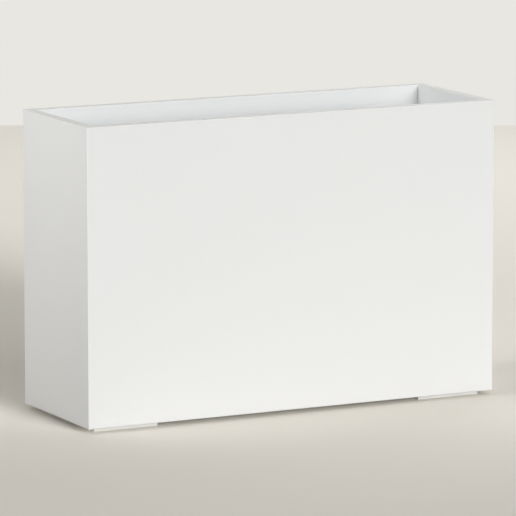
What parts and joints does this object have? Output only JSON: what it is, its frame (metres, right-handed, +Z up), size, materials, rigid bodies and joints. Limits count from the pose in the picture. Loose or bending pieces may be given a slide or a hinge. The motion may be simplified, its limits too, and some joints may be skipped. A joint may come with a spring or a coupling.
{
  "type": "box planter",
  "caption": "Long white box planter with mitred side boards, a raised floor with plugged drains inside, and low set-back foot pads.",
  "frame": {"origin": "on the ground, under the middle of the box", "axes": "+X along the length, to the right as seen from the front; +Y from front to back; +Z up"},
  "size_m": [0.914, 0.305, 0.61],
  "materials": {
    "side_board": "satin",
    "spline_strip": "matte",
    "inner_frame": "satin",
    "floor_sheet": "satin",
    "sealant": "satin",
    "foot_pad": "matte",
    "plug_rubber": "matte",
    "screw_steel": "satin"
  },
  "bodies": {
    "planter_box": {"board_front": "side_board", "board_back": "side_board", "board_left": "side_board", "board_right": "side_board", "spline_front_left": "spline_strip", "spline_front_right": "spline_strip", "spline_back_left": "spline_strip", "spline_back_right": "spline_strip", "post_front_left": "inner_frame", "post_front_right": "inner_frame", "post_back_left": "inner_frame", "post_back_right": "inner_frame", "ledger_front": "inner_frame", "ledger_back": "inner_frame", "ledger_left": "inner_frame", "ledger_right": "inner_frame", "floor_panel": "floor_sheet", "floor_sealant": "sealant", "foot_front_left": "foot_pad", "foot_front_right": "foot_pad", "foot_back_left": "foot_pad", "foot_back_right": "foot_pad", "post_screws": "screw_steel", "ledger_screws": "screw_steel", "floor_screws": "screw_steel", "foot_screws": "screw_steel"},
    "left_drain_plug": {"drain_plug_left": "plug_rubber"},
    "centre_drain_plug": {"drain_plug_centre": "plug_rubber"},
    "right_drain_plug": {"drain_plug_right": "plug_rubber"}
  },
  "joints": [
    {"name": "left_drain_plug_lift", "type": "slide", "parent": "planter_box", "child": "left_drain_plug", "axis": [0, 0, 1], "range_m": [0, 0.6]},
    {"name": "centre_drain_plug_lift", "type": "slide", "parent": "planter_box", "child": "centre_drain_plug", "axis": [0, 0, 1], "range_m": [0, 0.6]},
    {"name": "right_drain_plug_lift", "type": "slide", "parent": "planter_box", "child": "right_drain_plug", "axis": [0, 0, 1], "range_m": [0, 0.6]}
  ]
}
